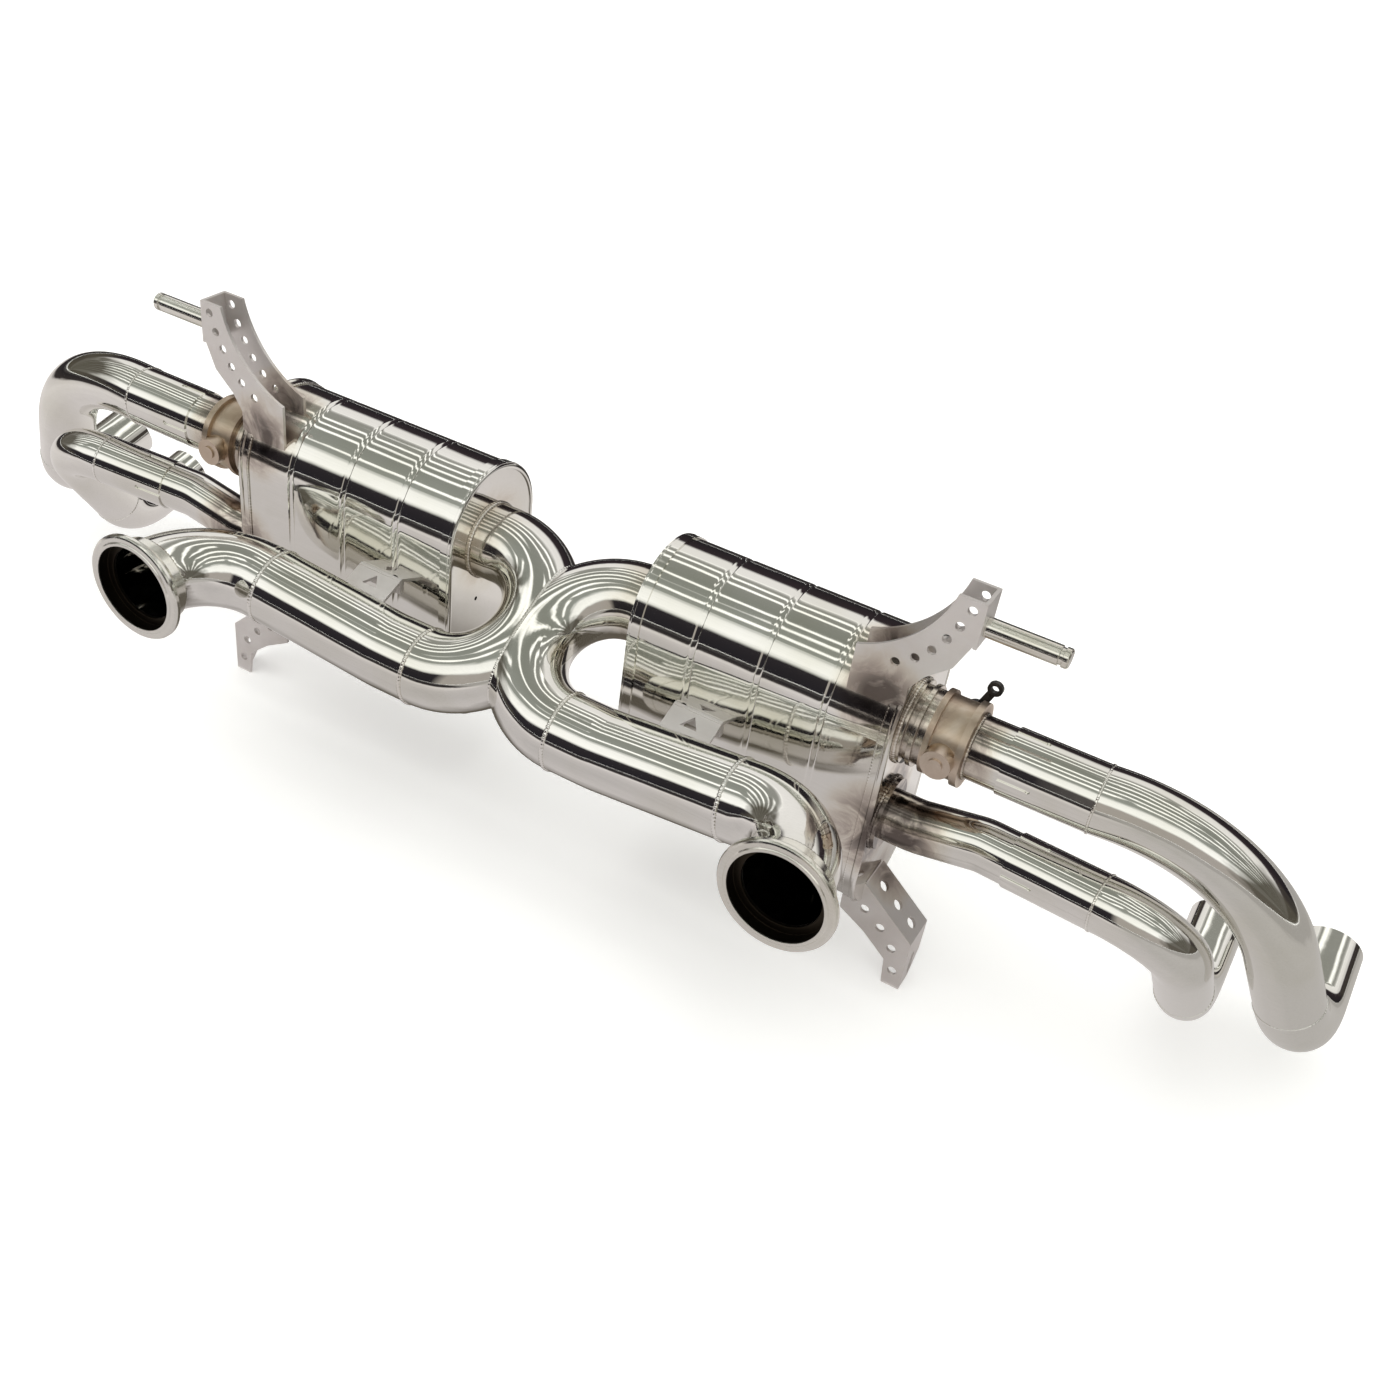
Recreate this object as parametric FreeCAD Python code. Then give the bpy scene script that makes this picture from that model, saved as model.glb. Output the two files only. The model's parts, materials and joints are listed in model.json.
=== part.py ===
import FreeCAD, Part
import math
import os

# Left-right symmetric sports-car exhaust with two valved mufflers and a crossover in the middle.
# Millimetres. +X is the right-hand side, +Y points to the rear of the car and +Z up.
# Every piece is built for the right-hand side and mirrored in the plane x = 0. Heights and depths
# are written from the middle of the crossover; the last step moves the origin under the assembly,
# to the middle of its footprint on the ground.

V = FreeCAD.Vector
X_AXIS, Y_AXIS, Z_AXIS = V(1, 0, 0), V(0, 1, 0), V(0, 0, 1)

# Tube
MAIN_OD = 70.0
UPPER_OD = 57.0
LOWER_OD = 48.0
TUBE_WALL = 1.5
SLIP_CLEARANCE = 0.05
SHORTEST_RUN = 1e-6
MITRE = 8.0

# Muffler: oval shell with its long axis vertical
OVAL_R = 62.0
OVAL_Y = 19.0
OVAL_TOP_Z = -1.0
OVAL_FLAT = 135.0
MUFFLER_X0, MUFFLER_X1 = 91.0, 331.0
SHELL_WALL = 2.0
CAP_THICK = 2.0
SKIRT = (10.0, 1.5)              # length over the shell, thickness
BEAD_COUNT = 3
BEAD_DEPTH, BEAD_R = 1.0, 5.0
WEEP_HOLE = (V(0, -2, -64), 2.0)
CORE_X = (97.0, 279.0)           # perforated tube from the u bend
RETURN_X = (166.0, 325.0)        # tube to the lower outlet
PACKING_R = 46.0
DRAIN_R = 20.0                   # opening low in each baffle

# Inlet side
VBAND_AT = V(315.5, -194, -54)   # middle of the open face
VBAND_R = 49.5
VBAND_OPENING_R = 40.0
FLANGE_DEPTH = 24.0
ELBOW_R = 70.0
RUN_Y, RUN_Z = -101.0, -77.0
U_X = 73.0                       # where the straight run ends and the u bend begins
U_R = 68.0
U_RISE = math.radians(29.4)      # tilt of the u bend's plane above the horizontal
S_BEND_X, S_BEND_R = 112.0, 120.0

# Valve on the upper outlet
UPPER_Y, UPPER_Z = 1.0, 0.0
VALVE_X0, VALVE_X1 = 352.0, 385.0
VALVE_OUTER_R, VALVE_BORE_R = 36.0, 26.0
SHAFT_X = (VALVE_X0 + VALVE_X1) / 2
SHAFT_Y0, SHAFT_Y1 = UPPER_Y - 37.0, UPPER_Y + 52.0
SHAFT_R = 5.0
SHAFT_CLEARANCE = 0.03
BOSS_Y0, BOSS_Y1 = UPPER_Y - 41.0, UPPER_Y + 41.0
LEVER_Y0 = UPPER_Y + 45.0
BUSH_R = 8.0
BOSS_R = 12.5
DISC_THICK, DISC_GAP = 2.5, 0.15
LEVER_ARM, LEVER_THICK = 28.0, 4.0
LEVER_LEAN = math.radians(22)    # lean of the lever towards the outside with the valve shut

# Tail pipes
UPPER_SLEEVE = (414.0, 489.0)
UPPER_BEND = (V(612, 12, 2), 172.0)
UPPER_ELBOW = (V(697, 64, -194), 46.0)
UPPER_TIP = 100.0
LOWER_OUTLET = V(0, -12, -88)
LOWER_SLEEVE = (445.0, 519.0)
LOWER_JOG = (V(362, -12, -88), V(418, -14, -76))
LOWER_LINE_END = V(519, -29, -69)
LOWER_BEND = (V(583, -39, -64), 60.0)
LOWER_ELBOW = (V(606, 66, -208), 50.0)
LOWER_TIP = 94.0
TIP_RISE = math.radians(14)
SLIT = (25.0, 3.0, 4)            # length, width, count
STUB_ENGAGED = 30.0
TIP_COLLAR = 3.0                 # straight left above the seam where the tip elbow is welded on

# Brackets
SHEET = 3.0
HOLE_R = 3.9
HANGER_Y = (-35.0, -5.0)
HANGER_SIDE_X = 373.0
HANGER_INNER_ARC = [(283, 72), (322, 96), (350, 145)]
HANGER_OUTER_EDGE = [(350, 145), (373, 145), (371, 110), (360, 84), (341, 67), (331, 52), (331, 20),
                     (283, 20), (283, 72)]
HANGER_WEB_Z = (106.0, 145.0)
HANGER_HOLES = [(363, 136), (357, 120), (350, 106), (341, 92), (330, 80), (316, 70)]
PIN_AT, PIN_R, PIN_LENGTH = V(373, -21, 120), 8.0, 65.0
LOWER_BRACKET_Y = (-10.0, 28.0)
LOWER_RIDGE = [(332, -173), (384, -216)]
LOWER_FLANGE = [(332, -173), (384, -216), (384, -272), (367, -272), (364, -245), (340, -225),
                (314, -210), (313, -179)]
LOWER_HOLES = [(318, -192), (336, -200), (353.5, -213), (368, -230), (374, -254)]
LOWER_END = [(-10, -216), (28, -216), (28, -250), (10, -272), (-10, -272)]
LOWER_HOLE_R = 4.3
LOWER_WEB_HOLES = (0.22, 0.53, 0.83)
LOWER_WEB_HOLE_R = 5.2
LOWER_SLOT = (9.0, -266.0, -240.0, 4.3)   # y, bottom, top and half width in the upright end
TAB_X = (143.0, 189.0)
TAB_FROM, TAB_TO = V(0, -40, -44), V(0, -80, -60)


def x_cylinder(radius, x0, x1, y, z):
    return Part.makeCylinder(radius, x1 - x0, V(x0, y, z), X_AXIS)


def x_ring(outer, inner, x0, x1, y, z):
    return x_cylinder(outer, x0, x1, y, z).cut(x_cylinder(inner, x0 - 1, x1 + 1, y, z))


def swept(points, radii, radius):
    """Round bar along straight runs joined by tangent bends, one bend radius per inner point."""
    lengths = []
    last = points[0]
    for i, bend in enumerate(radii, start=1):
        into = (points[i] - points[i - 1]).normalize()
        out = (points[i + 1] - points[i]).normalize()
        angle = into.getAngle(out)
        reach = bend * math.tan(angle / 2)
        start = points[i] - into * reach
        if (start - last).Length > SHORTEST_RUN:
            lengths.append(Part.makeCylinder(radius, (start - last).Length, last, into))
        axis = into.cross(out).normalize()
        disc = Part.Face(Part.Wire(Part.makeCircle(radius, start, into)))
        lengths.append(disc.revolve(start + axis.cross(into) * bend, axis, math.degrees(angle)))
        last = points[i] + out * reach
    run = points[-1] - last
    lengths.append(Part.makeCylinder(radius, run.Length, last, run))
    first, *others = lengths
    return first.multiFuse(others).removeSplitter() if others else first


def tube(points, radii, diameter, wall=TUBE_WALL):
    """Bent tube, open at both ends."""
    return swept(points, radii, diameter / 2).cut(swept(points, radii, diameter / 2 - wall))


def oval_wire(radius, x):
    top, bottom = OVAL_TOP_Z, OVAL_TOP_Z - OVAL_FLAT
    front, rear = OVAL_Y - radius, OVAL_Y + radius
    return Part.Wire([
        Part.Arc(V(x, front, top), V(x, OVAL_Y, top + radius), V(x, rear, top)).toShape(),
        Part.LineSegment(V(x, rear, top), V(x, rear, bottom)).toShape(),
        Part.Arc(V(x, rear, bottom), V(x, OVAL_Y, bottom - radius), V(x, front, bottom)).toShape(),
        Part.LineSegment(V(x, front, bottom), V(x, front, top)).toShape(),
    ])


def oval(radius, x0, x1):
    return Part.Face(oval_wire(radius, x0)).extrude(V(x1 - x0, 0, 0))


def bead_positions():
    pitch = (MUFFLER_X1 - MUFFLER_X0) / (BEAD_COUNT + 1)
    return [MUFFLER_X0 + pitch * (i + 1) for i in range(BEAD_COUNT)]


def muffler_shell():
    x0, x1 = MUFFLER_X0 + CAP_THICK, MUFFLER_X1 - CAP_THICK
    shell = oval(OVAL_R, x0, x1).cut(oval(OVAL_R - SHELL_WALL, x0 - 1, x1 + 1))
    for x in bead_positions():
        path = oval_wire(OVAL_R + BEAD_R - BEAD_DEPTH, x)
        start = V(x, OVAL_Y - OVAL_R - BEAD_R + BEAD_DEPTH, OVAL_TOP_Z)
        profile = Part.Wire(Part.makeCircle(BEAD_R, start, Z_AXIS))
        shell = shell.cut(path.makePipeShell([profile], True, False))
    return shell


def end_cap(x_face, inward):
    """Flat plate with a skirt over the end of the shell."""
    length, thick = SKIRT
    ends = sorted((x_face, x_face + inward * length))
    plate_ends = sorted((x_face, x_face + inward * CAP_THICK))
    skirt = oval(OVAL_R + thick, *ends)
    hollow = sorted((x_face + inward * CAP_THICK, x_face + inward * (length + 1)))
    return skirt.cut(oval(OVAL_R, *hollow)).fuse(oval(OVAL_R, *plate_ends)).removeSplitter()


def u_end():
    """Where the u bend enters the muffler, in the section plane."""
    across = 2 * U_R
    return V(0, RUN_Y + across * math.cos(U_RISE), RUN_Z + across * math.sin(U_RISE))


def inner_end_cap():
    inlet = u_end()
    cap = end_cap(MUFFLER_X0, 1)
    cap = cap.cut(x_cylinder(MAIN_OD / 2, MUFFLER_X0 - 1, MUFFLER_X0 + 5, inlet.y, inlet.z))
    weep, weep_r = WEEP_HOLE
    return cap.cut(x_cylinder(weep_r, MUFFLER_X0 - 1, MUFFLER_X0 + 5, weep.y, weep.z))


def outer_end_cap():
    cap = end_cap(MUFFLER_X1, -1)
    for at, diameter in ((V(0, UPPER_Y, UPPER_Z), UPPER_OD), (LOWER_OUTLET, LOWER_OD)):
        cap = cap.cut(x_cylinder(diameter / 2, MUFFLER_X1 - 5, MUFFLER_X1 + 1, at.y, at.z))
    return cap


def baffle_plates():
    inlet = u_end()
    plates = []
    for x in bead_positions():
        x0, x1 = x - SHELL_WALL / 2, x + SHELL_WALL / 2
        plate = oval(OVAL_R - SHELL_WALL, x0, x1)
        plate = plate.cut(x_cylinder(MAIN_OD / 2, x0 - 1, x1 + 1, inlet.y, inlet.z))
        if x > RETURN_X[0]:
            plate = plate.cut(
                x_cylinder(LOWER_OD / 2, x0 - 1, x1 + 1, LOWER_OUTLET.y, LOWER_OUTLET.z))
        plate = plate.cut(x_cylinder(DRAIN_R, x0 - 1, x1 + 1, OVAL_Y, OVAL_TOP_Z - OVAL_FLAT - 18))
        plates.append(plate)
    return Part.Compound(plates)


def perforated(shape, x0, x1, radius, y, z, rings, holes):
    """The tube with rings of round holes, each drilled right across."""
    for i in range(rings):
        x = x0 + (x1 - x0) * (i + 0.5) / rings
        for j in range(holes // 2):
            angle = math.pi * 2 * (j + 0.5 * (i % 2)) / holes
            across = V(0, math.cos(angle), math.sin(angle))
            drill = Part.makeCylinder(3.0, 2 * radius + 4, V(x, y, z) - across * (radius + 2), across)
            shape = shape.cut(drill)
    return shape


def core_tube():
    inlet = u_end()
    ring = x_ring(MAIN_OD / 2, MAIN_OD / 2 - TUBE_WALL, *CORE_X, inlet.y, inlet.z)
    first, *_, last = bead_positions()
    return perforated(ring, first + 6, last - 6, MAIN_OD / 2, inlet.y, inlet.z, 6, 8)


def return_tube():
    at = LOWER_OUTLET
    ring = x_ring(LOWER_OD / 2, LOWER_OD / 2 - TUBE_WALL, *RETURN_X, at.y, at.z)
    return perforated(ring, RETURN_X[0] + 4, RETURN_X[0] + 40, LOWER_OD / 2, at.y, at.z, 2, 6)


def packing():
    inlet = u_end()
    beads = bead_positions()
    sleeves = []
    for x0, x1 in zip(beads[:-1], beads[1:]):
        sleeves.append(x_ring(
            PACKING_R, MAIN_OD / 2, x0 + SHELL_WALL / 2, x1 - SHELL_WALL / 2, inlet.y, inlet.z))
    return Part.Compound(sleeves)


def inlet_flange():
    """V-band ring with a stepped bore and a socket for the tube, turned about the inlet axis."""
    r, bore, pipe = VBAND_R, VBAND_OPENING_R, MAIN_OD / 2
    profile = [
        (bore, 0), (bore + 2.5, 0), (bore + 3.5, 1), (r - 2.5, 1), (r - 0.8, 1.8), (r, 3.2), (r, 6),
        (r - 7, 13), (pipe + 4, 13), (pipe + 4, FLANGE_DEPTH), (pipe, FLANGE_DEPTH), (pipe, 14),
        (pipe - TUBE_WALL, 14), (pipe - TUBE_WALL, 11), (bore, 11),
    ]
    points = [VBAND_AT + V(radius, depth, 0) for radius, depth in profile]
    face = Part.Face(Part.makePolygon(points + points[:1]))
    return face.revolve(VBAND_AT, Y_AXIS, 360)


def inlet_pipe():
    start = VBAND_AT + V(0, 14, 0)
    elbow = V(VBAND_AT.x, RUN_Y - 5, VBAND_AT.z)
    return tube([start, elbow, V(S_BEND_X, RUN_Y, RUN_Z), V(U_X, RUN_Y, RUN_Z)],
                [ELBOW_R, S_BEND_R], MAIN_OD)


def u_bend():
    """Half of the crossover: the bend is cut on the middle plane, where it opens into its twin."""
    end = u_end()
    apex_x = U_X - U_R
    corners = [V(U_X, RUN_Y, RUN_Z), V(apex_x, RUN_Y, RUN_Z), V(apex_x, end.y, end.z),
               V(CORE_X[0], end.y, end.z)]
    bend = tube(corners, [U_R, U_R], MAIN_OD)
    return bend.common(Part.makeBox(400, 400, 400, V(0, -200, -200)))


def muffler_envelope():
    return oval(OVAL_R, MUFFLER_X0, MUFFLER_X1).fuse(
        oval(OVAL_R + SKIRT[1], MUFFLER_X1 - SKIRT[0], MUFFLER_X1))


def support_tab():
    """Sloping plate from the muffler's front to the inlet pipe, with a folded edge and a window."""
    slope = (TAB_TO - TAB_FROM).normalize()
    normal = V(0, slope.z, -slope.y)
    x0, x1 = TAB_X
    corners = [TAB_FROM, TAB_TO, TAB_TO - normal * SHEET, TAB_FROM - normal * SHEET]
    corners = [p + V(x0, 0, 0) for p in corners]
    plate = Part.Face(Part.makePolygon(corners + corners[:1])).extrude(V(x1 - x0, 0, 0))
    lip = Part.makeBox(x1 - x0, SHEET, 14, V(x0, OVAL_Y - OVAL_R - SHEET, TAB_FROM.z - 16))
    middle = V((x0 + x1) / 2, 0, 0) + TAB_FROM + slope * 16
    window = [middle + V(-8, 0, 0) + slope * 6, middle + V(8, 0, 0) + slope * 6, middle - slope * 6]
    window = [p + normal * 10 for p in window]
    hole = Part.Face(Part.makePolygon(window + window[:1])).extrude(normal * -20)
    tab = plate.fuse(lip).removeSplitter().cut(hole)
    solid_pipe = swept([V(S_BEND_X, RUN_Y, RUN_Z), V(VBAND_AT.x, RUN_Y - 5, VBAND_AT.z)], [],
                       MAIN_OD / 2)
    return tab.cut(solid_pipe).cut(muffler_envelope())


def plate_xz(points, y0, y1):
    """Sheet lying in the x-z plane between two depths."""
    corners = [V(x, y0, z) for x, z in points]
    return Part.Face(Part.makePolygon(corners + corners[:1])).extrude(V(0, y1 - y0, 0))


def drilled(shape, centres, y0, y1, radius=HOLE_R):
    for x, z in centres:
        shape = shape.cut(Part.makeCylinder(radius, y1 - y0 + 2, V(x, y0 - 1, z), Y_AXIS))
    return shape


def hanger_flange(y0):
    """One side of the hanger channel: its inner edge is an arc, its foot stands on the shell."""
    arc = Part.Arc(*[V(x, y0, z) for x, z in HANGER_INNER_ARC]).toShape()
    corners = [V(x, y0, z) for x, z in HANGER_OUTER_EDGE]
    lines = [Part.LineSegment(a, b).toShape() for a, b in zip(corners[:-1], corners[1:])]
    face = Part.Face(Part.Wire([arc] + lines))
    return drilled(face.extrude(V(0, SHEET, 0)), HANGER_HOLES, y0, y0 + SHEET)


def hanger_bracket():
    y0, y1 = HANGER_Y
    z0, z1 = HANGER_WEB_Z
    web = Part.makeBox(SHEET, y1 - y0, z1 - z0, V(HANGER_SIDE_X - SHEET, y0, z0))
    bracket = hanger_flange(y0).fuse(hanger_flange(y1 - SHEET)).fuse(web).removeSplitter()
    return bracket.cut(muffler_envelope())


def hanger_pin():
    """Turned pin with a groove near its free end."""
    pin = Part.makeCylinder(PIN_R, PIN_LENGTH, PIN_AT, X_AXIS)
    pin = pin.makeChamfer(1.2, [pin.Edges[0]])
    groove = x_ring(PIN_R + 2, PIN_R - 1.2, PIN_AT.x + PIN_LENGTH - 8, PIN_AT.x + PIN_LENGTH - 5,
                    PIN_AT.y, PIN_AT.z)
    return pin.cut(groove)


def lower_bracket():
    """Folded channel from the outer cap: front flange, sloping web and a slotted upright end."""
    y0, y1 = LOWER_BRACKET_Y
    flange = drilled(plate_xz(LOWER_FLANGE, y0, y0 + SHEET), LOWER_HOLES, y0, y0 + SHEET,
                     LOWER_HOLE_R)
    (x0, z0), (x1, z1) = LOWER_RIDGE
    slope = V(x1 - x0, 0, z1 - z0).normalize()
    below = V(slope.z, 0, -slope.x)
    sheet_z = SHEET / slope.x
    web = plate_xz([(x0, z0), (x1, z1), (x1, z1 - sheet_z), (x0, z0 - sheet_z)], y0, y1)
    corners = [V(x1, y, z) for y, z in LOWER_END]
    end = Part.Face(Part.makePolygon(corners + corners[:1])).extrude(V(-SHEET, 0, 0))
    bracket = flange.fuse(web).fuse(end).removeSplitter()
    for t in LOWER_WEB_HOLES:
        at = V(x0 + (x1 - x0) * t, (y0 + y1) / 2, z0 + (z1 - z0) * t)
        drill = Part.makeCylinder(LOWER_WEB_HOLE_R, 4 * SHEET, at - below * (2 * SHEET), below)
        bracket = bracket.cut(drill)
    slot_y, bottom, top, half = LOWER_SLOT
    for z in (bottom + half, top - half):
        bracket = bracket.cut(Part.makeCylinder(half, 4 * SHEET, V(x1 - 2 * SHEET, slot_y, z), X_AXIS))
    bracket = bracket.cut(Part.makeBox(4 * SHEET, 2 * half, top - bottom - 2 * half,
                                       V(x1 - 2 * SHEET, slot_y - half, bottom + half)))
    return bracket.cut(muffler_envelope())


def valve_adapter():
    """Stepped ring between the outer cap and the valve."""
    bore = VALVE_BORE_R - 0.5
    steps = [(UPPER_OD / 2, 325, 331), (36, 331, 336), (32, 336, 341), (35, 341, 345),
             (32, 345, VALVE_X0)]
    body = None
    for radius, x0, x1 in steps:
        ring = x_ring(radius, bore, x0, x1, UPPER_Y, UPPER_Z)
        body = ring if body is None else body.fuse(ring)
    return body.removeSplitter()


def y_cylinder(radius, y0, y1, x=SHAFT_X, z=UPPER_Z):
    return Part.makeCylinder(radius, y1 - y0, V(x, y0, z), Y_AXIS)


def valve_body():
    """Cast body with a flanged outlet end, a wide front boss and a slim rear boss."""
    body = x_cylinder(VALVE_OUTER_R - 3, VALVE_X0, VALVE_X1, UPPER_Y, UPPER_Z)
    body = body.fuse(x_cylinder(VALVE_OUTER_R, VALVE_X0, VALVE_X0 + 5, UPPER_Y, UPPER_Z))
    body = body.fuse(x_cylinder(VALVE_OUTER_R, VALVE_X1 - 6, VALVE_X1, UPPER_Y, UPPER_Z))
    body = body.fuse(y_cylinder(BOSS_R, BOSS_Y0, UPPER_Y))
    body = body.fuse(y_cylinder(BOSS_R - 1.5, UPPER_Y, BOSS_Y1)).removeSplitter()
    body = body.cut(x_cylinder(VALVE_BORE_R, VALVE_X0 - 1, VALVE_X1 + 1, UPPER_Y, UPPER_Z))
    socket = x_cylinder(UPPER_OD / 2 - TUBE_WALL, VALVE_X1 - 5, VALVE_X1 + 1, UPPER_Y, UPPER_Z)
    return body.cut(socket).cut(y_cylinder(BUSH_R, BOSS_Y0 - 1, BOSS_Y1 + 1))


def valve_bushes():
    bushes = []
    for y0, y1 in ((BOSS_Y0, UPPER_Y - VALVE_BORE_R - 1), (UPPER_Y + VALVE_BORE_R + 1, BOSS_Y1)):
        bore = y_cylinder(SHAFT_R + SHAFT_CLEARANCE, y0 - 1, y1 + 1)
        bushes.append(y_cylinder(BUSH_R, y0, y1).cut(bore))
    return Part.Compound(bushes)


def valve_cap():
    cap = y_cylinder(BOSS_R, BOSS_Y0 - 3, BOSS_Y0)
    return cap.fuse(y_cylinder(6, BOSS_Y0 - 4.5, BOSS_Y0 - 3)).removeSplitter()


def disc_blank():
    return x_cylinder(VALVE_BORE_R - DISC_GAP, SHAFT_X - DISC_THICK / 2, SHAFT_X + DISC_THICK / 2,
                      UPPER_Y, UPPER_Z)


def disc_screws():
    screws = []
    for y in (UPPER_Y - 11, UPPER_Y + 11):
        shank = x_cylinder(2.0, SHAFT_X - SHAFT_R, SHAFT_X + SHAFT_R, y, UPPER_Z)
        head = x_cylinder(3.5, SHAFT_X + SHAFT_R, SHAFT_X + SHAFT_R + 2.2, y, UPPER_Z)
        screws.append(shank.fuse(head).removeSplitter())
    return Part.Compound(screws)


def valve_disc():
    return disc_blank().cut(disc_screws())


def valve_shaft():
    return y_cylinder(SHAFT_R, SHAFT_Y0, SHAFT_Y1).cut(disc_blank()).cut(disc_screws())


def valve_lever():
    """Crank arm on the rear end of the shaft, with an eye for the actuator rod."""
    y0, y1 = LEVER_Y0, LEVER_Y0 + LEVER_THICK
    eye_x = SHAFT_X + LEVER_ARM * math.sin(LEVER_LEAN)
    eye_z = UPPER_Z + LEVER_ARM * math.cos(LEVER_LEAN)
    arm = Part.makeBox(7, LEVER_THICK, LEVER_ARM, V(-3.5, 0, 0))
    arm.rotate(V(0, 0, 0), Y_AXIS, math.degrees(LEVER_LEAN))
    arm.translate(V(SHAFT_X, y0, UPPER_Z))
    lever = y_cylinder(9, y0, y1).fuse(arm).fuse(y_cylinder(6.5, y0, y1, eye_x, eye_z))
    lever = lever.removeSplitter()
    return lever.cut(y_cylinder(SHAFT_R, y0 - 1, y1 + 1)).cut(y_cylinder(3.2, y0 - 1, y1 + 1, eye_x, eye_z))


def upper_stub():
    outer = UPPER_OD / 2 - TUBE_WALL
    x1 = UPPER_SLEEVE[0] + STUB_ENGAGED
    return x_ring(outer, outer - TUBE_WALL, VALVE_X1 - 5, x1, UPPER_Y, UPPER_Z)


def sleeve(start, end, outer):
    """Slip-joint sleeve: slit at the end that slides over the stub."""
    length, width, count = SLIT
    along = (end - start).normalize()
    inner = outer - TUBE_WALL + SLIP_CLEARANCE
    total = (end - start).Length
    body = Part.makeCylinder(outer, total, start, along)
    body = body.cut(Part.makeCylinder(inner, total + 2, start - along, along))
    up = Z_AXIS - along * along.z
    side = along.cross(up).normalize()
    for i in range(count // 2):
        angle = math.pi * i / (count // 2)
        across = up.normalize() * math.cos(angle) + side * math.sin(angle)
        flat = along.cross(across)
        base = start - along - across * (outer + 2) - flat * (width / 2)
        corners = [base, base + flat * width, base + flat * width + along * (length + 1),
                   base + along * (length + 1)]
        cutter = Part.Face(Part.makePolygon(corners + corners[:1])).extrude(across * (2 * outer + 4))
        end_hole = Part.makeCylinder(width * 0.7, 2 * outer + 4,
                                     start + along * length - across * (outer + 2), across)
        body = body.cut(cutter).cut(end_hole)
    return body


def upper_sleeve():
    x0, x1 = UPPER_SLEEVE
    return sleeve(V(x0, UPPER_Y, UPPER_Z), V(x1, UPPER_Y, UPPER_Z), UPPER_OD / 2)


def tip_direction():
    return V(0, math.cos(TIP_RISE), math.sin(TIP_RISE))


def tip_seam(bend, elbow):
    """Point on the falling line where the tip elbow is butt welded to the tail pipe."""
    fall = (elbow[0] - bend[0]).normalize()
    reach = elbow[1] * math.tan(fall.getAngle(tip_direction()) / 2)
    return elbow[0] - fall * (reach + TIP_COLLAR)


def tail_pipe(sleeve_end, sleeve_axis, bend, elbow, diameter):
    """It leaves its sleeve at a slight angle, so its start is cut flush with the sleeve's end."""
    start = sleeve_end - (bend[0] - sleeve_end).normalize() * MITRE
    pipe = tube([start, bend[0], tip_seam(bend, elbow)], [bend[1]], diameter)
    waste = Part.makeCylinder(diameter, 2 * MITRE, sleeve_end - sleeve_axis * (2 * MITRE), sleeve_axis)
    return pipe.cut(waste)


def tip_elbow(bend, elbow, length, diameter):
    tip = elbow[0] + tip_direction() * length
    return tube([tip_seam(bend, elbow), elbow[0], tip], [elbow[1]], diameter)


def upper_tail_pipe():
    sleeve_end = V(UPPER_SLEEVE[1], UPPER_Y, UPPER_Z)
    return tail_pipe(sleeve_end, X_AXIS, UPPER_BEND, UPPER_ELBOW, UPPER_OD)


def upper_tip_elbow():
    return tip_elbow(UPPER_BEND, UPPER_ELBOW, UPPER_TIP, UPPER_OD)


def lower_line(x):
    """Point on the straight slip-joint axis of the lower outlet."""
    start, end = LOWER_JOG[1], LOWER_LINE_END
    return start + (end - start) * ((x - start.x) / (end.x - start.x))


def lower_stub():
    diameter = LOWER_OD - 2 * TUBE_WALL
    start = V(RETURN_X[1], LOWER_OUTLET.y, LOWER_OUTLET.z)
    end = lower_line(LOWER_SLEEVE[0] + STUB_ENGAGED)
    pipe = tube([start, *LOWER_JOG, end], [60.0, 60.0], diameter)
    x = MUFFLER_X1
    ring = x_ring(LOWER_OD / 2 + 8, diameter / 2 - 1, x, x + 6, LOWER_OUTLET.y, LOWER_OUTLET.z)
    spigot = x_ring(LOWER_OD / 2, diameter / 2 - 1, x - 6, x, LOWER_OUTLET.y, LOWER_OUTLET.z)
    bore = x_cylinder(diameter / 2 - TUBE_WALL, x - 10, x + 10, LOWER_OUTLET.y, LOWER_OUTLET.z)
    return pipe.fuse(ring).fuse(spigot).removeSplitter().cut(bore)


def lower_sleeve():
    return sleeve(lower_line(LOWER_SLEEVE[0]), lower_line(LOWER_SLEEVE[1]), LOWER_OD / 2)


def lower_tail_pipe():
    sleeve_end = lower_line(LOWER_SLEEVE[1])
    axis = (sleeve_end - lower_line(LOWER_SLEEVE[0])).normalize()
    return tail_pipe(sleeve_end, axis, LOWER_BEND, LOWER_ELBOW, LOWER_OD)


def lower_tip_elbow():
    return tip_elbow(LOWER_BEND, LOWER_ELBOW, LOWER_TIP, LOWER_OD)


PIECES = [
    muffler_shell, inner_end_cap, outer_end_cap, baffle_plates, core_tube, return_tube, packing,
    inlet_flange, inlet_pipe, u_bend, support_tab, hanger_bracket, hanger_pin, lower_bracket,
    valve_adapter, valve_body, valve_bushes, valve_cap, valve_shaft, valve_disc, disc_screws,
    valve_lever, upper_stub, upper_sleeve, upper_tail_pipe, upper_tip_elbow, lower_stub,
    lower_sleeve, lower_tail_pipe, lower_tip_elbow,
]


def build():
    right = {piece.__name__: piece() for piece in PIECES}
    box = Part.Compound(list(right.values())).optimalBoundingBox()
    shift = V(0, -(box.YMin + box.YMax) / 2, -box.ZMin)
    os.makedirs("parts", exist_ok=True)
    for name, shape in right.items():
        shape.translate(shift)
        shape.exportStep(f"parts/{name}_right.step")
        shape.mirror(V(0, 0, 0), X_AXIS).exportStep(f"parts/{name}_left.step")
    print("origin shift", tuple(round(c, 3) for c in shift))


build()
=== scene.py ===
"""Looks for the valved sports-car exhaust: metals, welds, studio light and camera."""
import json
import math

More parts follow.
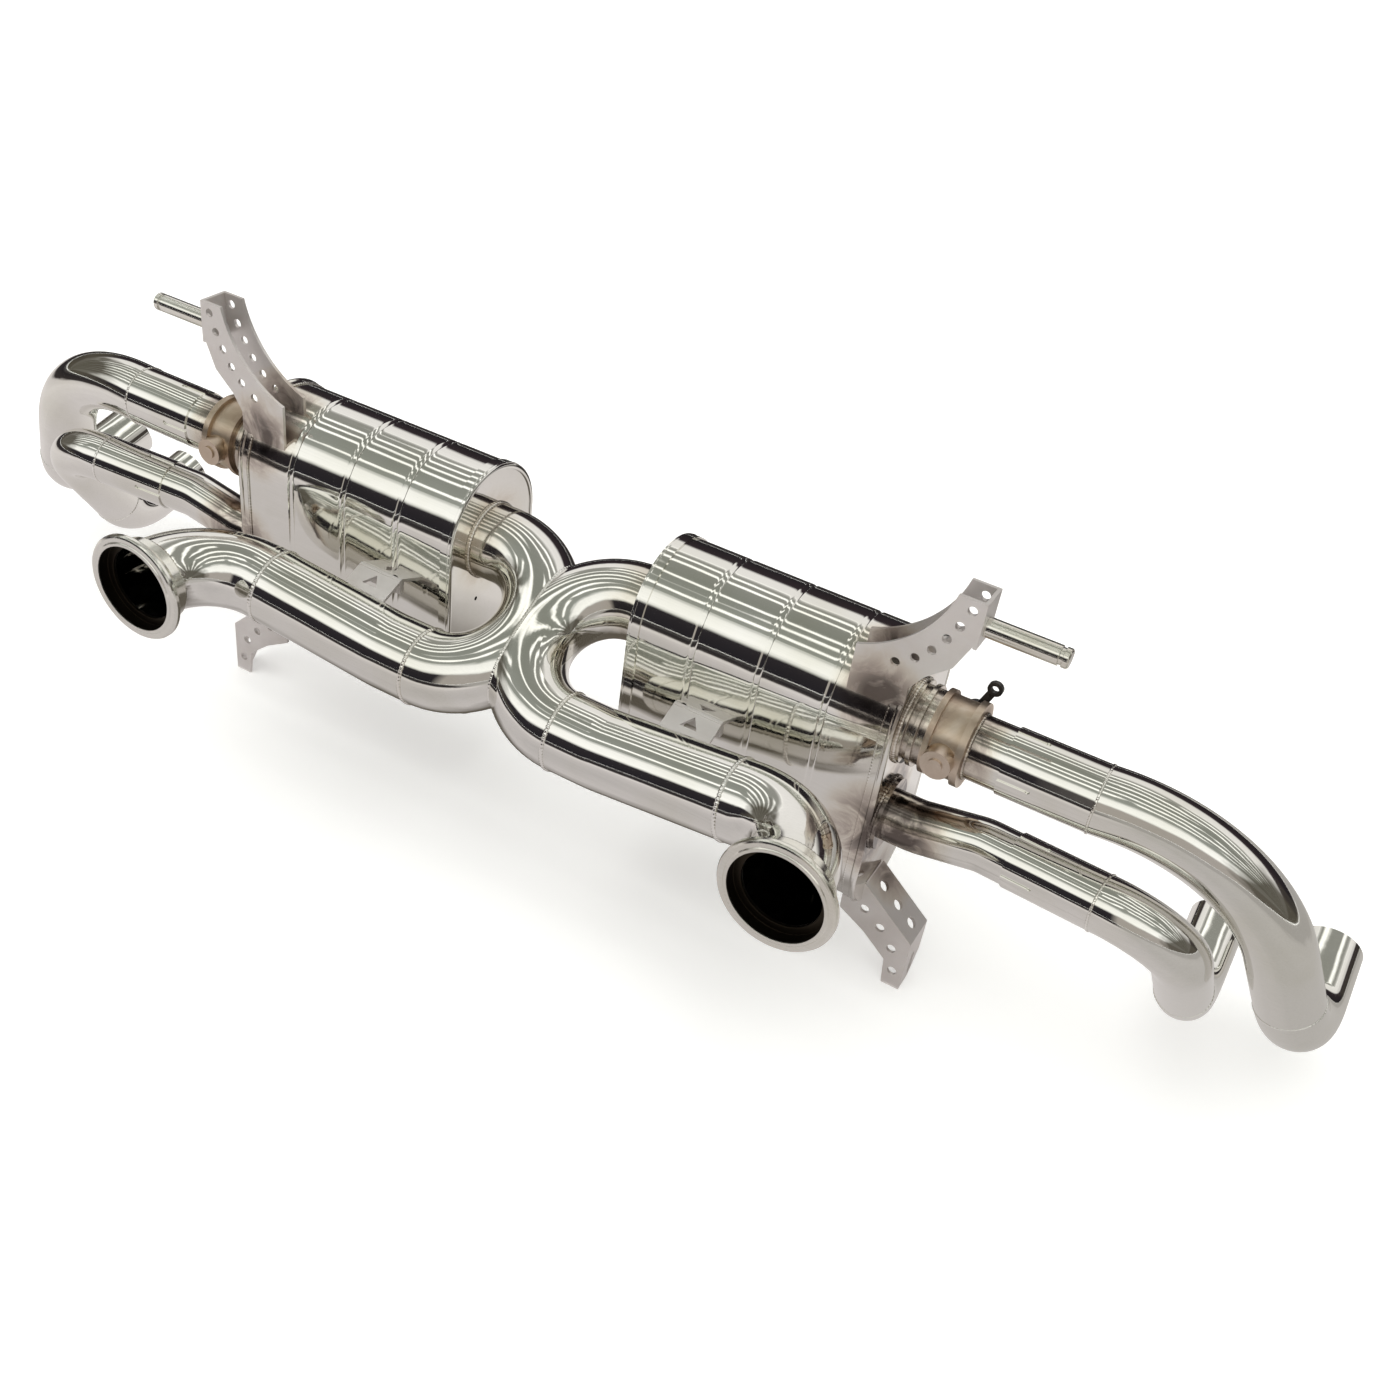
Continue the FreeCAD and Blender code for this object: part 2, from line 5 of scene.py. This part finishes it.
import bpy
from mathutils import Matrix, Vector


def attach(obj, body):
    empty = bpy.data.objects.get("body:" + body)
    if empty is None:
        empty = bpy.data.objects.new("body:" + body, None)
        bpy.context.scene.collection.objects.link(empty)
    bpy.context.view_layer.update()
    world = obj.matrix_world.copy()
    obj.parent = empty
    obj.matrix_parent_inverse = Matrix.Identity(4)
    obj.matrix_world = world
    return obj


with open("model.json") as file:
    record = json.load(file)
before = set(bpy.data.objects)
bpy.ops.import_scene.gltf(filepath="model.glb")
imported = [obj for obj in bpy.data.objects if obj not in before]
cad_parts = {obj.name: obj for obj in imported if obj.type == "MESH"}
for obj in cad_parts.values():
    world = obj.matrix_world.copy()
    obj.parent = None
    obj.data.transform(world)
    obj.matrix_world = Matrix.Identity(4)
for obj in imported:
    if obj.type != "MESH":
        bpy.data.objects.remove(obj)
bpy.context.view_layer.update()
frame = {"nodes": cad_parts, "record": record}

NODES = frame["nodes"]
SIDES = (("right", 1), ("left", -1))
MM = 0.001
ORIGIN = Vector((0.0, 13.038, 272.0))     # mm from the muffler datum up to the row frame


def place(x, y, z, side=1):
    """A point in the row frame, in metres, from millimetres about the muffler datum."""
    return Vector(((x + ORIGIN.x) * side, y + ORIGIN.y, z + ORIGIN.z)) * MM


# ---------------------------------------------------------------- node helpers


class Graph:
    """Short names for building a node tree."""

    def __init__(self, tree):
        self.tree = tree
        tree.nodes.clear()

    def add(self, kind, inputs=None, out=0, **settings):
        """Add a node, link or set its inputs, and return one of its outputs, or the node."""
        made = self.tree.nodes.new(kind)
        for key, value in settings.items():
            setattr(made, key, value)
        for key, value in (inputs or {}).items():
            if isinstance(value, bpy.types.NodeSocket):
                self.tree.links.new(value, made.inputs[key])
            else:
                made.inputs[key].default_value = value
        return made if out is None else made.outputs[out]

    def math(self, operation, a, b=0.0):
        return self.add("ShaderNodeMath", {0: a, 1: b}, operation=operation)

    def plus(self, a, b):
        return self.math("ADD", a, b)

    def minus(self, a, b):
        return self.math("SUBTRACT", a, b)

    def times(self, a, b):
        return self.math("MULTIPLY", a, b)

    def over(self, a, b):
        return self.math("DIVIDE", a, b)

    def larger(self, a, b):
        return self.math("MAXIMUM", a, b)

    def abs(self, a):
        return self.math("ABSOLUTE", a)

    def sway(self, vector, scale, amount, detail=3.0):
        """Smooth noise of this amount about 0."""
        return self.times(self.minus(self.noise(vector, scale, detail), 0.5), amount)

    def noise(self, vector, scale, detail=3.0, rough=0.5, distortion=0.0):
        inputs = {"Vector": vector, "Scale": scale, "Detail": detail, "Roughness": rough,
                  "Distortion": distortion}
        return self.add("ShaderNodeTexNoise", inputs)

    def vector(self, operation, a, b=None, out=0):
        inputs = {0: a} if b is None else {0: a, 1: b}
        return self.add("ShaderNodeVectorMath", inputs, out=out, operation=operation)

    def split(self, vector):
        return self.add("ShaderNodeSeparateXYZ", {0: vector}, out=None).outputs

    def join(self, x, y, z):
        return self.add("ShaderNodeCombineXYZ", {0: x, 1: y, 2: z})

    def ramp(self, value, stops):
        node = self.add("ShaderNodeValToRGB", {0: value}, out=None)
        bar = node.color_ramp
        while len(bar.elements) < len(stops):
            bar.elements.new(0.5)
        for element, (at, colour) in zip(bar.elements, stops):
            element.position = at
            element.color = rgb(*colour)
        return node.outputs[0]

    def range(self, value, a, b, c, d):
        """Map a..b on to c..d, held at the ends."""
        return self.add("ShaderNodeMapRange", {0: value, 1: a, 2: b, 3: c, 4: d})

    def mix(self, factor, a, b):
        return self.add("ShaderNodeMix", {0: factor, 6: a, 7: b}, out=2, data_type="RGBA")

    def bump(self, height, distance, strength=1.0, normal=None):
        inputs = {"Height": height, "Distance": distance, "Strength": strength}
        if normal is not None:
            inputs["Normal"] = normal
        return self.add("ShaderNodeBump", inputs)

    def surface(self, kind, inputs):
        """The shader of this kind, wired to the material's output."""
        shader = self.add(kind, inputs)
        self.add("ShaderNodeOutputMaterial", {"Surface": shader}, out=None)


def rgb(*values):
    return (*values, 1.0)


def add_object(name, data):
    made = bpy.data.objects.new(name, data)
    bpy.context.scene.collection.objects.link(made)
    return made


def new_material(name):
    material = bpy.data.materials.new(name)
    material.use_nodes = True
    return material, Graph(material.node_tree)


# ---------------------------------------------------------------- materials

INLET_X, INLET_Y, INLET_Z = place(315.5, -194, -54)    # middle of the right inlet's face
MOUTH_R = 0.0402                          # the flange's inner step
BORE_R = 0.0345                           # the inlet pipe's bore
STEP_DEPTH = 0.0113                       # from the flange's face
BEADS_X = (151, 211, 271)                 # mm, the beads pressed round each shell
BEAD_WIDTH = 0.0026                       # metres, as are all lengths not marked mm
BEADS_FROM_Y = (-0.040, -0.036)           # keeps the beads off the pipes before the shells
BEAD_RISE = 0.0006
HOT_SPOTS = [                             # centre, full-strength radius and outer radius
    (place(340, 1, 0), 0.026, 0.050),         # adapter
    (place(340, -12, -88), 0.036, 0.066),     # lower outlet
    (place(312, -34, 34), 0.014, 0.046),      # hanger's front foot
    (place(306, -6, 58), 0.012, 0.040),       # hanger's rear foot
    (place(385, 1, 0), 0.026, 0.038),         # valve outlet
    (place(343, 20, -176), 0.0, 0.034),       # lower bracket
    (place(88, 17, -10), 0.0, 0.056),         # where the U-bend enters
]
TEMPER = [                                # steel's colours from straw to burnt brown
    (0.1, (0.72, 0.66, 0.50)), (0.3, (0.50, 0.37, 0.2)), (0.5, (0.24, 0.14, 0.08)),
    (0.75, (0.10, 0.065, 0.05)), (1.0, (0.06, 0.05, 0.05))]
# soot and painted shade for the inside of the inlet flanges
SOOT_AND_SHADE = rgb(0.035, 0.028, 0.02)
WARM_STAIN = rgb(0.42, 0.31, 0.22)
DRAWN = (6.0, 900.0, 900.0)               # scale of the drawn lines, which run along x


def heat_mask(g, at):
    """1 beside the hottest welds, falling to 0 around them; the spots are mirrored in x = 0."""
    x, y, z = g.split(at)
    folded = g.join(g.abs(x), y, z)
    total = 0.0
    for centre, inner, outer in HOT_SPOTS:
        gap = g.vector("DISTANCE", folded, centre, out=1)
        total = g.larger(total, g.range(gap, inner, outer, 1.0, 0.0))
    return total


def soot_and_shade_mask(g, at):
    """1 inside the inlet flanges behind their lips, where soot and painted shade darken the bore.
    """
    x, y, z = g.split(at)
    away = g.minus(g.abs(x), INLET_X)
    rise = g.minus(z, INLET_Z)
    radius = g.math("SQRT", g.plus(g.times(away, away), g.times(rise, rise)))
    depth = g.minus(y, INLET_Y)
    behind_lip = g.range(depth, 0.0002, 0.002, 0.0, 1.0)
    above_step = g.range(depth, STEP_DEPTH, STEP_DEPTH + 0.0004, 1.0, 0.0)
    mouth = g.times(g.range(radius, MOUTH_R, MOUTH_R + 0.001, 1.0, 0.0),
                    g.times(behind_lip, above_step))
    return g.larger(mouth, g.range(radius, BORE_R, BORE_R + 0.0003, 1.0, 0.0))


def bead_height(g, at):
    """1 along the pressed beads that run round each muffler shell."""
    x, y, _ = g.split(at)
    wide = g.abs(x)
    height = 0.0
    for bead_x in BEADS_X:
        offset = g.over(g.minus(wide, bead_x * MM), BEAD_WIDTH)
        height = g.plus(height, g.math("EXPONENT", g.times(offset, g.times(offset, -1.0))))
    return g.times(height, g.range(y, *BEADS_FROM_Y, 0.0, 1.0))


def metal(name, colour, tint, roughness, brushed, dents=0.0, grain=0.0, heat=0.0, metallic=1.0,
          edge=0.0006, sooty_and_shaded=False, beaded=False, uneven=0.4):
    """Metal with drawn lines along x, soft blotches of tint, fine scratches and heat stains.

    brushed is how strongly the drawn lines show, dents and grain are bump heights in metres,
    heat is the strength of an all-over warm stain, edge is the radius of softened edges in
    metres, and uneven is the part by which the roughness varies.
    """
    material, g = new_material(name)
    at = g.add("ShaderNodeTexCoord", out="Object")
    lines = g.noise(g.vector("MULTIPLY", at, DRAWN), 1.0, 4.0, 0.6)
    blotch = g.noise(at, 9.0, 4.0, 0.55, 0.4)     # patches about 100 mm across
    fine = g.noise(at, 260.0, 3.0, 0.6)           # scuffs a few mm across
    stain = g.noise(at, 30.0, 5.0, 0.6, 1.2)      # breaks up the heat stains
    hot = g.times(heat_mask(g, at), g.range(stain, 0.3, 0.55, 0.35, 1.0))

    base = g.mix(g.range(blotch, 0.42, 0.68, 0.0, 1.0), rgb(*colour), rgb(*tint))
    groove = rgb(*(c * 0.55 for c in colour))
    base = g.mix(g.range(lines, 0.35, 0.65, 0.0, min(0.12, brushed * 4)), base, groove)
    temper = g.ramp(g.plus(g.times(hot, 0.75), g.times(stain, 0.2)), TEMPER)
    base = g.mix(g.times(hot, 0.92), base, temper)
    if heat:
        base = g.mix(g.range(stain, 0.40, 0.66, 0.0, heat), base, WARM_STAIN)

    rough = g.plus(g.range(fine, 0.3, 0.75, roughness * (1 - uneven), roughness * (1 + uneven)),
                   g.range(lines, 0.3, 0.7, 0.0, brushed))
    rough = g.plus(rough, g.times(hot, 0.10))
    # darkens the inlet flanges' bores with soot and with painted shade in the recess
    if sooty_and_shaded:
        soot_and_shade = soot_and_shade_mask(g, at)
        base = g.mix(soot_and_shade, base, SOOT_AND_SHADE)
        rough = g.plus(rough, g.times(soot_and_shade, 0.25))

    normal = g.add("ShaderNodeBevel", {"Radius": edge}, samples=4) if edge else None
    if beaded:
        normal = g.bump(bead_height(g, at), BEAD_RISE, 1.0, normal)
    normal = g.bump(lines, 0.00001, min(1.0, brushed * 6.0), normal)
    if dents:                                     # small ripples and broad waves in thin sheet
        normal = g.bump(g.noise(at, 34.0, 2.0), dents, 0.6, normal)
        normal = g.bump(g.noise(at, 13.0, 1.0), dents * 9, 0.8, normal)
    if grain:
        normal = g.bump(g.noise(at, 900.0, 4.0, 0.65), grain, 0.9, normal)
    g.surface("ShaderNodeBsdfPrincipled", {"Base Color": base, "Metallic": metallic,
                                           "Roughness": rough, "Normal": normal})
    return material


def fibre(name, colour, dark):
    """Matted strands."""
    material, g = new_material(name)
    at = g.add("ShaderNodeTexCoord", out="Object")
    strands = g.noise(g.vector("MULTIPLY", at, (120.0, 900.0, 900.0)), 1.0, 6.0, 0.7, 1.5)
    base = g.mix(strands, rgb(*dark), rgb(*colour))
    g.surface("ShaderNodeBsdfPrincipled", {"Base Color": base, "Roughness": 0.95,
                                           "Normal": g.bump(strands, 0.001)})
    return material


MATERIALS = {
    "polished_stainless": metal("polished_stainless", (0.84, 0.83, 0.80), (0.77, 0.76, 0.70),
                                0.05, 0.02, dents=0.00012, edge=0.0, beaded=True),
    "plain_stainless": metal("plain_stainless", (0.62, 0.61, 0.58), (0.52, 0.5, 0.45),
                             0.36, 0.12, uneven=0.15),
    # its bore is darkened with soot and painted shade
    "machined_stainless": metal("machined_stainless", (0.84, 0.83, 0.78), (0.76, 0.73, 0.64),
                                0.12, 0.04, edge=0.001, sooty_and_shaded=True),
    "satin_stainless": metal("satin_stainless", (0.72, 0.69, 0.675), (0.64, 0.60, 0.58),
                             0.34, 0.008, heat=0.06, metallic=0.65, edge=0.0, uneven=0.1),
    "cast_stainless": metal("cast_stainless", (0.74, 0.64, 0.56), (0.60, 0.50, 0.40),
                            0.34, 0.01, heat=0.35, edge=0.0, uneven=0.12),
    "bush_bronze": metal("bush_bronze", (0.55, 0.38, 0.2), (0.45, 0.3, 0.16), 0.25, 0.08),
    "black_steel": metal("black_steel", (0.035, 0.034, 0.036), (0.06, 0.055, 0.05),
                         0.3, 0.05, grain=0.00001, metallic=0.4),
    "glass_wool": fibre("glass_wool", (0.80, 0.74, 0.52), (0.5, 0.42, 0.24)),
}

slot_of = {p["node"]: p["material_slot"] for p in frame["record"]["subparts"]}
for name, obj in NODES.items():
    obj.data.materials.clear()
    obj.data.materials.append(MATERIALS[slot_of[name]])

# ---------------------------------------------------------------- weld beads and rims

WELD = metal("weld_bead", (0.92, 0.91, 0.88), (0.86, 0.83, 0.76), 0.09, 0.01, edge=0.0)
AROUND = 8                                # points round a bead's section
PER_RIPPLE = 4                            # sections along one ripple
FLATTENED = 0.6                           # a weld's height as a part of its width
CREST = 1.04                              # a ripple's highest radius as a part of the size
WANDER = 0.4                              # how far a hand-laid bead strays, as a part of a ripple


def even_points(points, count, samples):
    """count points spaced length/samples apart along a polyline."""
    lengths = [0.0]
    for a, b in zip(points, points[1:]):
        lengths.append(lengths[-1] + (b - a).length)
    line = []
    cursor = 0
    for i in range(count):
        along = lengths[-1] * i / samples
        while cursor < len(points) - 2 and lengths[cursor + 1] < along:
            cursor += 1
        span = lengths[cursor + 1] - lengths[cursor]
        line.append(points[cursor].lerp(points[cursor + 1], (along - lengths[cursor]) / span))
    return line


def bead(name, path, body, size=1.7, pitch=3.2, closed=True, ripples=0.30, metal_name=None):
    """Row of overlapping weld ripples along a path of points in metres, or a plain rolled rim.

    size is the bead's radius and pitch the length of a ripple, both in mm. ripples is the part
    of the radius that comes and goes. A weld is flattened on to the metal; a rim is round.
    """
    points = [Vector(p) for p in path]
    if closed:
        points.append(points[0])
    length = sum((b - a).length for a, b in zip(points, points[1:]))
    samples = max(6, round(length / (pitch * MM))) * PER_RIPPLE
    middle = sum(points, Vector()) / len(points)
    rings = samples if closed else samples + 1
    line = even_points(points, rings, samples)
    flatten = 1.0 if metal_name else FLATTENED
    verts, faces = [], []
    for i, centre in enumerate(line):
        ahead = line[(i + 1) % rings] if closed else line[min(i + 1, rings - 1)]
        behind = line[i - 1] if closed or i else line[0]
        tangent = (ahead - behind).normalized()
        out = centre - middle
        out = (out - tangent * out.dot(tangent)).normalized()
        side = tangent.cross(out)
        ripple = abs(math.sin(math.pi * i / PER_RIPPLE))
        radius = size * MM * (CREST - ripples + ripples * ripple)
        shake = WANDER * ripples * size * MM * math.sin(i * 1.7) * math.sin(i * 0.31)
        for k in range(AROUND):
            turn = 2 * math.pi * k / AROUND
            verts.append(centre + side * (shake + radius * math.cos(turn))
                         + out * radius * flatten * math.sin(turn))
    for i in range(rings if closed else rings - 1):
        for k in range(AROUND):
            a, b = i * AROUND + k, i * AROUND + (k + 1) % AROUND
            c, d = ((i + 1) % rings) * AROUND + (k + 1) % AROUND, ((i + 1) % rings) * AROUND + k
            faces.append((a, b, c, d))
    if not closed:
        faces.append(tuple(range(AROUND))[::-1])
        faces.append(tuple((rings - 1) * AROUND + k for k in range(AROUND)))
    mesh = bpy.data.meshes.new(name)
    mesh.from_pydata(verts, [], faces)
    mesh.polygons.foreach_set("use_smooth", [True] * len(mesh.polygons))
    mesh.materials.append(MATERIALS[metal_name] if metal_name else WELD)
    made = add_object(name, mesh)
    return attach(made, body)


def circle(centre, axis, radius, side, count=96):
    """Points round a circle, given in mm about the muffler datum."""
    axis = Vector(axis).normalized()
    across = axis.orthogonal().normalized()
    third = axis.cross(across)
    ring = []
    for k in range(count):
        turn = 2 * math.pi * k / count
        p = Vector(centre) + (across * math.cos(turn) + third * math.sin(turn)) * radius
        ring.append(place(*p, side))
    return ring


SHELL_Y = 19.0                            # mm, middle of the muffler's oval
SHELL_TOP_Z, SHELL_BOTTOM_Z = -1.0, -136.0    # mm, centres of its two half circles


def stadium(x, radius, side, count=48):
    """Outline of the muffler: two half circles joined by the flat sides."""
    ring = []
    for k in range(2 * count):
        turn = math.pi * k / count
        z = SHELL_TOP_Z if turn < math.pi else SHELL_BOTTOM_Z
        ring.append(place(x, SHELL_Y + radius * math.cos(turn), z + radius * math.sin(turn), side))
    return ring


def crossover_loop(count=40):
    """Where the two U-bends meet on the middle plane."""
    tube, bend = 35.0, 68.0               # mm, the tube's and the bend's radius
    axis_x = 73.0                         # mm, the bend's centre from the middle plane
    rise = math.radians(29.4)             # the bend's plane, up from level
    centre = Vector((0, -41.7, -43.6))    # mm, the bend's centre, moved to that plane
    limit = math.acos((axis_x - bend) / tube)
    half = []
    for k in range(count + 1):
        turn = -limit + 2 * limit * k / count
        reach = math.sqrt(max(0.0, (bend + tube * math.cos(turn)) ** 2 - axis_x ** 2))
        half.append((reach, tube * math.sin(turn)))
    loop = half + [(-u, v) for u, v in reversed(half[1:-1])]
    return [place(0, centre.y + u * math.cos(rise) - v * math.sin(rise),
                  centre.z + u * math.sin(rise) + v * math.cos(rise)) for u, v in loop]


RINGS = [                                 # name, centre, axis, radius, body, size; in mm
    ("run_seam", (73, -101, -77), (1, 0, 0), 35.0, "exhaust", 2.1),
    ("elbow_seam", (236, -104.05, -62.99), (0.9934, -0.0244, 0.1123), 35.0, "exhaust", 2.1),
    ("entry_weld", (90.4, 17.49, -10.24), (1, 0, 0), 35.6, "exhaust", 2.2),
    ("flange_weld", (315.5, -169.6, -54), (0, 1, 0), 36.5, "exhaust", 2.2),
    ("adapter_weld", (331.6, 1, 0), (1, 0, 0), 36.2, "exhaust", 2.2),
    ("lower_outlet_weld", (331.8, -12, -88), (1, 0, 0), 32.2, "exhaust", 2.0),
    ("valve_outlet_weld", (385.6, 1, 0), (1, 0, 0), 27.6, "exhaust", 1.9),
    ("upper_sleeve_seam", (489, 1, 0), (1, 0, 0), 28.6, "upper_tail", 1.2),
    ("lower_sleeve_seam", (519, -29, -69), (0.9868, -0.1466, 0.0684), 24.1, "lower_tail", 1.2),
    ("upper_tip_seam", (678.3, 52.56, -150.88), (0.387, 0.2365, -0.891), 28.5, "upper_tail", 1.0),
    ("lower_tip_seam", (601.29, 44.51, -178.52), (0.128, 0.584, -0.801), 24.0, "lower_tail", 1.0),
]
RIMS = [("inner_rim", 93.0, 60.4), ("outer_rim", 328.4, 61.4)]    # name, x, radius of its middle
FEET = [("hanger_front_weld", -35.6, 29.2), ("hanger_rear_weld", -4.6, 56.4)]    # name, y, z
FOOT_X = (285, 300, 315, 329)
SKIRT_X, SKIRT_R = 320.6, 62.6            # where the cap's skirt ends on the shell
SKIRT_SIZE, RIM_SIZE, FOOT_SIZE = 1.3, 3.3, 2.4
SKIRT_PITCH, FOOT_PITCH = 3.0, 3.4

for side_name, side in SIDES:
    for name, centre, axis, radius, body, size in RINGS:
        owner = body if body == "exhaust" else f"{body}_{side_name}"
        bead(f"{name}_{side_name}", circle(centre, axis, radius, side), owner, size)
    bead(f"skirt_weld_{side_name}", stadium(SKIRT_X, SKIRT_R, side), "exhaust", SKIRT_SIZE,
         SKIRT_PITCH)
    for name, x, radius in RIMS:
        bead(f"{name}_{side_name}", stadium(x, radius, side), "exhaust", RIM_SIZE,
             ripples=0.0, metal_name="polished_stainless")
    for name, y, z in FEET:
        path = [place(x, y, z, side) for x in FOOT_X]
        bead(f"{name}_{side_name}", path, "exhaust", FOOT_SIZE, FOOT_PITCH, closed=False)
bead("crossover_weld", crossover_loop(), "exhaust", 1.8)

# ---------------------------------------------------------------- floor


def square(name, half, z):
    """A level square about the origin."""
    mesh = bpy.data.meshes.new(name)
    mesh.from_pydata([(-half, -half, z), (half, -half, z), (half, half, z), (-half, half, z)],
                     [], [(0, 1, 2, 3)])
    made = add_object(name, mesh)
    return made


floor = square("floor", half=14, z=0.0)
paper, g = new_material("paper")
spread = g.noise(g.add("ShaderNodeTexCoord", out="Object"), 3.0, 2.0)
tone = g.mix(spread, rgb(0.93, 0.93, 0.925), rgb(0.95, 0.95, 0.95))
g.surface("ShaderNodeBsdfPrincipled", {
    "Base Color": tone, "Roughness": 0.8, "Specular IOR Level": 0.1, "Emission Color": tone,
    "Emission Strength": 0.3})
floor.data.materials.append(paper)

# The floor as polished metal mirrors it: pale paper by the object, a dim room further out.
below = square("floor_reflection", half=9, z=0.002)
sheen, g = new_material("floor_reflection")
at = g.add("ShaderNodeTexCoord", out="Object")
x, y, _ = g.split(at)
PAPER_X, PAPER_Y, PAPER_MIDDLE_Y = 1.5, 0.85, -0.35    # the scale and middle of the pale part
reach = g.larger(g.over(g.abs(x), PAPER_X),
                 g.over(g.abs(g.minus(y, PAPER_MIDDLE_Y)), PAPER_Y))
reach = g.plus(reach, g.sway(at, 2.6, 0.5))
ground = g.ramp(g.over(reach, 4.0), [
    (0.0, (0.55, 0.52, 0.51)), (0.12, (0.66, 0.62, 0.61)), (0.20, (0.80, 0.76, 0.74)),
    (0.26, (0.70, 0.66, 0.64)), (0.31, (0.04, 0.034, 0.034)), (0.6, (0.025, 0.022, 0.024)),
    (0.75, (0.06, 0.055, 0.055))])
clear = g.range(x, 0.45, 0.75, 0.0, 1.0)  # open floor beyond the right tips
ground = g.mix(g.times(clear, 0.85), ground, rgb(0.50, 0.48, 0.455))
SHADE_X, SHADE_Y, SHADE_MIDDLE_Y = 0.36, 0.17, 0.06    # the shade under the mufflers
beneath = g.larger(g.over(g.abs(x), SHADE_X),
                   g.over(g.abs(g.minus(y, SHADE_MIDDLE_Y)), SHADE_Y))
beneath = g.plus(beneath, g.sway(at, 7.0, 0.8))
ground = g.mix(g.range(beneath, 0.55, 1.25, 1.0, 0.0), ground, rgb(0.13, 0.115, 0.095))
g.surface("ShaderNodeEmission", {"Color": ground, "Strength": 1.0})
below.data.materials.append(sheen)
below.visible_camera = False
below.visible_diffuse = False
below.visible_shadow = False

# ---------------------------------------------------------------- studio

LAMP_WHITE = rgb(1.45, 1.45, 1.38)
LAMP_ROWS = 15                            # from the front horizon over to the back one

world = bpy.data.worlds.new("studio")
bpy.context.scene.world = world
world.use_nodes = True
g = Graph(world.node_tree)
direction = g.add("ShaderNodeTexCoord", out="Generated")
dx, dy, dz = g.split(direction)
turn = g.math("ARCTAN2", dz, g.times(dy, -1.0))
part = g.over(turn, math.pi)              # 0 at the front horizon, 0.5 overhead, 1 behind
part = g.plus(part, g.sway(direction, 2.2, 0.05))
room = g.ramp(part, [
    (0.0, (0.022, 0.02, 0.024)), (0.115, (0.03, 0.026, 0.03)), (0.14, (0.95, 0.95, 0.9)),
    (0.16, (1.2, 1.2, 1.15)), (0.245, (1.1, 1.1, 1.05)), (0.275, (0.34, 0.355, 0.32)),
    (0.50, (0.27, 0.28, 0.245)), (0.69, (0.33, 0.33, 0.30)), (0.73, (0.95, 0.93, 0.9)),
    (0.82, (0.9, 0.88, 0.85)), (0.85, (0.035, 0.026, 0.03)), (1.0, (0.02, 0.018, 0.02))])

patch = g.noise(g.join(g.times(part, 9.0), g.times(dx, 2.0), 0.0), 1.0, 2.0, 0.5)
phase = g.plus(g.times(part, 2 * math.pi * LAMP_ROWS), g.times(patch, 4.0))
tubes = g.range(g.math("SINE", phase), 0.2, 0.95, 0.0, 1.0)
tubes = g.times(tubes, g.range(patch, 0.42, 0.46, 0.0, 1.0))
overhead = g.times(g.range(part, 0.26, 0.29, 0.0, 1.0), g.range(part, 0.71, 0.73, 1.0, 0.0))
room = g.mix(g.times(tubes, overhead), room, LAMP_WHITE)

low = g.range(part, 0.12, 0.14, 1.0, 0.0)
open_side = g.times(g.range(dx, -0.10, 0.03, 0.0, 0.85), low)
room = g.mix(open_side, room, rgb(0.52, 0.48, 0.44))
cloud = g.sway(direction, 3.0, 0.5, detail=2.0)
ends = g.range(g.plus(g.abs(dx), cloud), 0.74, 0.93, 0.0, 0.94)
room = g.mix(ends, room, rgb(0.10, 0.09, 0.07))
seen = g.add("ShaderNodeLightPath", out="Is Camera Ray")
backdrop = g.mix(seen, room, rgb(1.0, 1.0, 1.0))
light = g.add("ShaderNodeBackground", {"Color": backdrop, "Strength": 1.0})
g.add("ShaderNodeOutputWorld", {"Surface": light}, out=None)

KEY_FROM = (-0.3, -0.25, 1.0)
key = bpy.data.lights.new("key", "SUN")
key.angle = math.radians(80)              # as wide as a soft box near by
key.energy = 1.6
sun = add_object("key", key)
sun.rotation_euler = Vector(KEY_FROM).to_track_quat("Z", "Y").to_euler()
sun.visible_glossy = False

# ---------------------------------------------------------------- camera

AZIMUTH, ELEVATION, ROLL = (math.radians(a) for a in (24.104, 36.343, 8.933))
CAMERA_AT = (0.5726, -0.9409, 0.9723)
SENSOR, LENS = 36.0, 38.571               # mm
flat = Vector((math.cos(AZIMUTH), math.sin(AZIMUTH), 0))
back = Vector((math.sin(AZIMUTH) * math.cos(ELEVATION), -math.cos(AZIMUTH) * math.cos(ELEVATION),
               math.sin(ELEVATION)))
upright = back.cross(flat)
right = flat * math.cos(ROLL) + upright * math.sin(ROLL)
up = upright * math.cos(ROLL) - flat * math.sin(ROLL)
camera = add_object("camera", bpy.data.cameras.new("camera"))
camera.data.sensor_width = SENSOR
camera.data.lens = LENS
facing = Matrix((right, up, back)).transposed().to_4x4()
camera.matrix_world = Matrix.Translation(CAMERA_AT) @ facing
bpy.context.scene.camera = camera
bpy.context.scene.view_settings.view_transform = "Standard"
